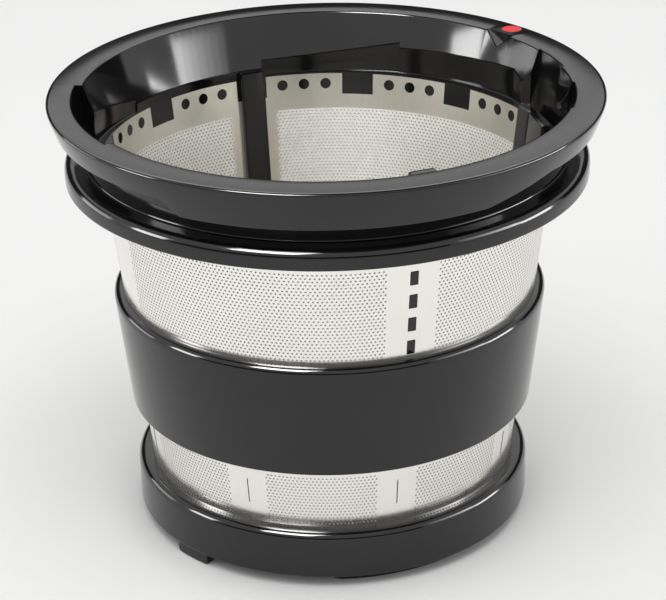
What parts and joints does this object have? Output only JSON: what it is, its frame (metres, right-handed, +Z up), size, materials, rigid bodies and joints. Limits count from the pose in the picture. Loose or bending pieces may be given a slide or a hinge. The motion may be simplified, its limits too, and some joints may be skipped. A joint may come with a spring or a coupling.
{
  "type": "juicer mesh screen",
  "caption": "Conical juicer strainer: a perforated steel cone moulded into a black plastic frame with a wide flanged rim, middle band, base ring, inner ribs and a red alignment mark.",
  "frame": {"origin": "on the screen's axis, in the plane that its feet stand on", "axes": "+Z up along the axis towards the wide rim, +X through the middle of the pulp outlet in the floor"},
  "size_m": [0.1096, 0.1096, 0.089],
  "materials": {
    "black_plastic": "glossy moulded",
    "steel_sheet": "bright perforated sheet",
    "red_fill": "satin paint fill"
  },
  "bodies": {
    "root": {"frame": "black_plastic", "screen": "steel_sheet", "red_mark": "red_fill"}
  },
  "joints": []
}
